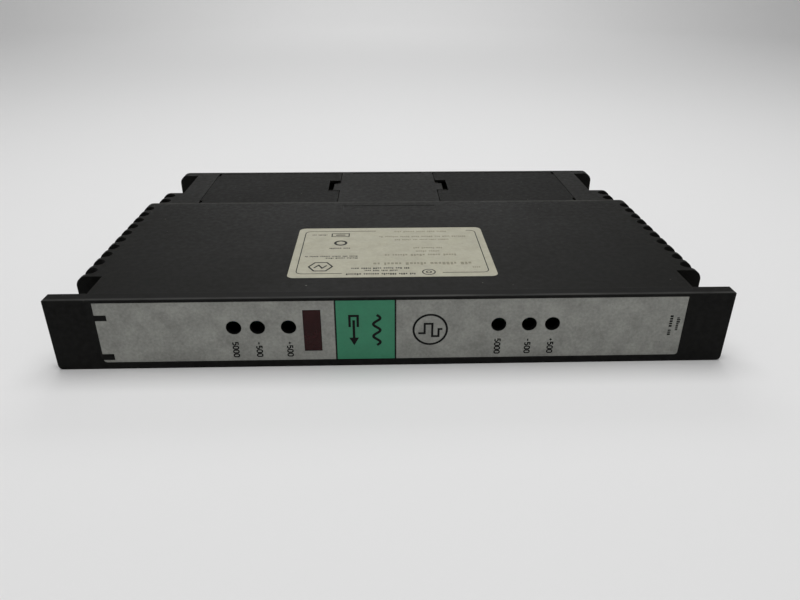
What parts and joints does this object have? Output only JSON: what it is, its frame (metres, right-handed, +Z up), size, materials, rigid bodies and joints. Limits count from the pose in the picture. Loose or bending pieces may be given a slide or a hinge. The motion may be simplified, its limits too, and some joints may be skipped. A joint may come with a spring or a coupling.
{
  "type": "plc module",
  "caption": "Flat black plug-in control module with a long front panel, finned case edges, trimmer screws behind access holes and rear card-edge connectors.",
  "frame": {"origin": "centre of the module's footprint, on the face it lies on", "axes": "+X along the front panel, to the right seen from the front; +Y from the front panel to the rear connectors; +Z up through the thickness"},
  "size_m": [0.2666, 0.175, 0.0305],
  "materials": {
    "case_plastic": "fine moulded grain",
    "panel_plastic": "satin moulded",
    "silver_overlay": "silver-grey printed film",
    "green_overlay": "green printed film",
    "red_lens": "polished dark red",
    "nameplate_foil": "cream printed film",
    "screw_steel": "zinc plated",
    "trimmer_blue": "smooth moulded",
    "brass": "turned",
    "white_plastic": "moulded",
    "board_laminate": "solder mask",
    "gold_plate": "gold plated",
    "chip_plastic": "moulded epoxy",
    "tinned_metal": "tinned",
    "resistor_lacquer": "lacquered",
    "capacitor_sleeve": "shrunk sleeve",
    "film_box": "moulded box",
    "core_iron": "sintered",
    "winding_copper": "enamelled wire",
    "sink_aluminium": "black anodised",
    "jumper_plastic": "moulded",
    "fuse_glass": "clear"
  },
  "bodies": {
    "module": {"case_screws": "screw_steel", "chip_pins": "tinned_metal", "circuit_board": "board_laminate", "controller_chip": "chip_plastic", "converter_chips": "chip_plastic", "crystal": "tinned_metal", "display_window": "red_lens", "electrolytic_capacitors": "capacitor_sleeve", "film_capacitors": "film_box", "front_bezel": "panel_plastic", "front_label": "silver_overlay", "function_label": "green_overlay", "fuse": "fuse_glass", "fuse_clips": "tinned_metal", "header_pins": "gold_plate", "heat_sink": "sink_aluminium", "led_holder": "chip_plastic", "left_connector_shroud": "case_plastic", "left_gold_fingers": "gold_plate", "left_rear_cover": "case_plastic", "lower_cover": "case_plastic", "nameplate": "nameplate_foil", "optocouplers": "chip_plastic", "range_headers": "chip_plastic", "range_jumpers": "jumper_plastic", "resistors": "resistor_lacquer", "right_connector_shroud": "case_plastic", "right_gold_fingers": "gold_plate", "right_rear_cover": "case_plastic", "status_leds": "red_lens", "transformer_core": "core_iron", "transformer_winding": "winding_copper", "trimmer_housing_1": "trimmer_blue", "trimmer_housing_2": "trimmer_blue", "trimmer_housing_3": "trimmer_blue", "trimmer_housing_4": "trimmer_blue", "trimmer_housing_5": "trimmer_blue", "trimmer_housing_6": "trimmer_blue", "upper_cover": "case_plastic", "voltage_regulators": "chip_plastic"},
    "screw_1": {"trimmer_screw_1": "brass"},
    "wiper_1": {"trimmer_wiper_1": "white_plastic"},
    "screw_2": {"trimmer_screw_2": "brass"},
    "wiper_2": {"trimmer_wiper_2": "white_plastic"},
    "screw_3": {"trimmer_screw_3": "brass"},
    "wiper_3": {"trimmer_wiper_3": "white_plastic"},
    "screw_4": {"trimmer_screw_4": "brass"},
    "wiper_4": {"trimmer_wiper_4": "white_plastic"},
    "screw_5": {"trimmer_screw_5": "brass"},
    "wiper_5": {"trimmer_wiper_5": "white_plastic"},
    "screw_6": {"trimmer_screw_6": "brass"},
    "wiper_6": {"trimmer_wiper_6": "white_plastic"}
  },
  "joints": [
    {"name": "screw_1_turn", "type": "hinge", "parent": "module", "child": "screw_1", "pos_m": [-0.0625, -0.078, 0.0179], "axis": [0, 1, 0], "range_deg": [-3700, 3700]},
    {"name": "wiper_1_slide", "type": "slide", "parent": "module", "child": "wiper_1", "axis": [0, 1, 0], "range_m": [-0.00513, 0.00513]},
    {"name": "screw_2_turn", "type": "hinge", "parent": "module", "child": "screw_2", "pos_m": [-0.0533, -0.078, 0.0179], "axis": [0, 1, 0], "range_deg": [-3700, 3700]},
    {"name": "wiper_2_slide", "type": "slide", "parent": "module", "child": "wiper_2", "axis": [0, 1, 0], "range_m": [-0.00513, 0.00513]},
    {"name": "screw_3_turn", "type": "hinge", "parent": "module", "child": "screw_3", "pos_m": [-0.0412, -0.078, 0.0179], "axis": [0, 1, 0], "range_deg": [-3700, 3700]},
    {"name": "wiper_3_slide", "type": "slide", "parent": "module", "child": "wiper_3", "axis": [0, 1, 0], "range_m": [-0.00513, 0.00513]},
    {"name": "screw_4_turn", "type": "hinge", "parent": "module", "child": "screw_4", "pos_m": [0.0412, -0.078, 0.0179], "axis": [0, 1, 0], "range_deg": [-3700, 3700]},
    {"name": "wiper_4_slide", "type": "slide", "parent": "module", "child": "wiper_4", "axis": [0, 1, 0], "range_m": [-0.00513, 0.00513]},
    {"name": "screw_5_turn", "type": "hinge", "parent": "module", "child": "screw_5", "pos_m": [0.0533, -0.078, 0.0179], "axis": [0, 1, 0], "range_deg": [-3700, 3700]},
    {"name": "wiper_5_slide", "type": "slide", "parent": "module", "child": "wiper_5", "axis": [0, 1, 0], "range_m": [-0.00513, 0.00513]},
    {"name": "screw_6_turn", "type": "hinge", "parent": "module", "child": "screw_6", "pos_m": [0.0625, -0.078, 0.0179], "axis": [0, 1, 0], "range_deg": [-3700, 3700]},
    {"name": "wiper_6_slide", "type": "slide", "parent": "module", "child": "wiper_6", "axis": [0, 1, 0], "range_m": [-0.00513, 0.00513]}
  ],
  "couplings": [
    {"joint": "screw_1_turn", "follows": "wiper_1_slide", "rad_per_m": -12566},
    {"joint": "screw_2_turn", "follows": "wiper_2_slide", "rad_per_m": -12566},
    {"joint": "screw_3_turn", "follows": "wiper_3_slide", "rad_per_m": -12566},
    {"joint": "screw_4_turn", "follows": "wiper_4_slide", "rad_per_m": -12566},
    {"joint": "screw_5_turn", "follows": "wiper_5_slide", "rad_per_m": -12566},
    {"joint": "screw_6_turn", "follows": "wiper_6_slide", "rad_per_m": -12566}
  ]
}
